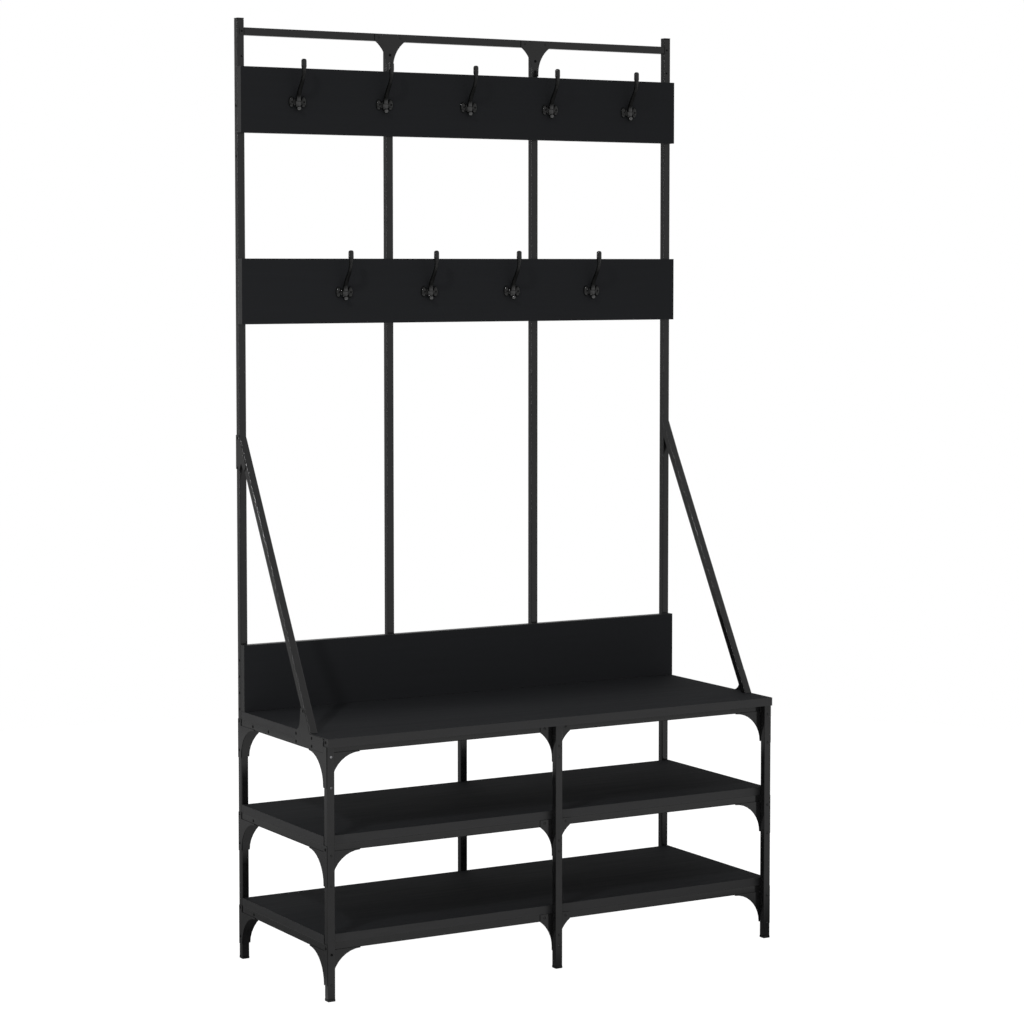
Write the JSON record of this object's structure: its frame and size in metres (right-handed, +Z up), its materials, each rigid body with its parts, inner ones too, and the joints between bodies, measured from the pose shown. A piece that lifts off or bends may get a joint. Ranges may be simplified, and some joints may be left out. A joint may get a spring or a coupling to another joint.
{
  "type": "hall tree",
  "caption": "Free-standing hall tree: a bench over two shoe shelves, a tall steel frame behind it and coat hooks on two boards.",
  "frame": {"origin": "on the floor, under the middle of the whole object", "axes": "+X to the right of someone facing the front, +Y towards the back, +Z up"},
  "size_m": [1.0026, 0.3962, 1.84],
  "materials": {
    "painted_frame": "black powder coat, semi-gloss",
    "board": "black foil-faced particle board, matte",
    "hook_metal": "black enamel, glossy",
    "moulded_plastic": "black, matte"
  },
  "bodies": {
    "root": {"rear_post_left": "painted_frame", "inner_post_left": "painted_frame", "side_brace_left": "painted_frame", "brace_upper_plate_left": "painted_frame", "brace_lower_plate_left": "painted_frame", "top_tee_plate_left": "painted_frame", "post_cap_left": "moulded_plastic", "rear_post_right": "painted_frame", "inner_post_right": "painted_frame", "side_brace_right": "painted_frame", "brace_upper_plate_right": "painted_frame", "brace_lower_plate_right": "painted_frame", "top_tee_plate_right": "painted_frame", "post_cap_right": "moulded_plastic", "top_rail": "painted_frame", "rear_leg_middle": "painted_frame", "front_leg_left": "painted_frame", "front_leg_middle": "painted_frame", "front_leg_right": "painted_frame", "seat_front_rail": "painted_frame", "seat_rear_rail": "painted_frame", "seat_left_rail": "painted_frame", "seat_right_rail": "painted_frame", "seat_tee_plate": "painted_frame", "middle_shelf_front_rail": "painted_frame", "middle_shelf_rear_rail": "painted_frame", "middle_shelf_left_rail": "painted_frame", "middle_shelf_right_rail": "painted_frame", "middle_shelf_tee_plate": "painted_frame", "bottom_shelf_front_rail": "painted_frame", "bottom_shelf_rear_rail": "painted_frame", "bottom_shelf_left_rail": "painted_frame", "bottom_shelf_right_rail": "painted_frame", "bottom_shelf_tee_plate": "painted_frame", "seat_board": "board", "middle_shelf": "board", "bottom_shelf": "board", "backrest_board": "board", "upper_hook_board": "board", "lower_hook_board": "board", "coat_hook_upper_1": "hook_metal", "coat_hook_upper_2": "hook_metal", "coat_hook_upper_3": "hook_metal", "coat_hook_upper_4": "hook_metal", "coat_hook_upper_5": "hook_metal", "coat_hook_lower_1": "hook_metal", "coat_hook_lower_2": "hook_metal", "coat_hook_lower_3": "hook_metal", "coat_hook_lower_4": "hook_metal", "foot_front_left": "moulded_plastic", "foot_front_middle": "moulded_plastic", "foot_front_right": "moulded_plastic", "foot_rear_left": "moulded_plastic", "foot_rear_middle": "moulded_plastic", "foot_rear_right": "moulded_plastic"}
  },
  "joints": []
}
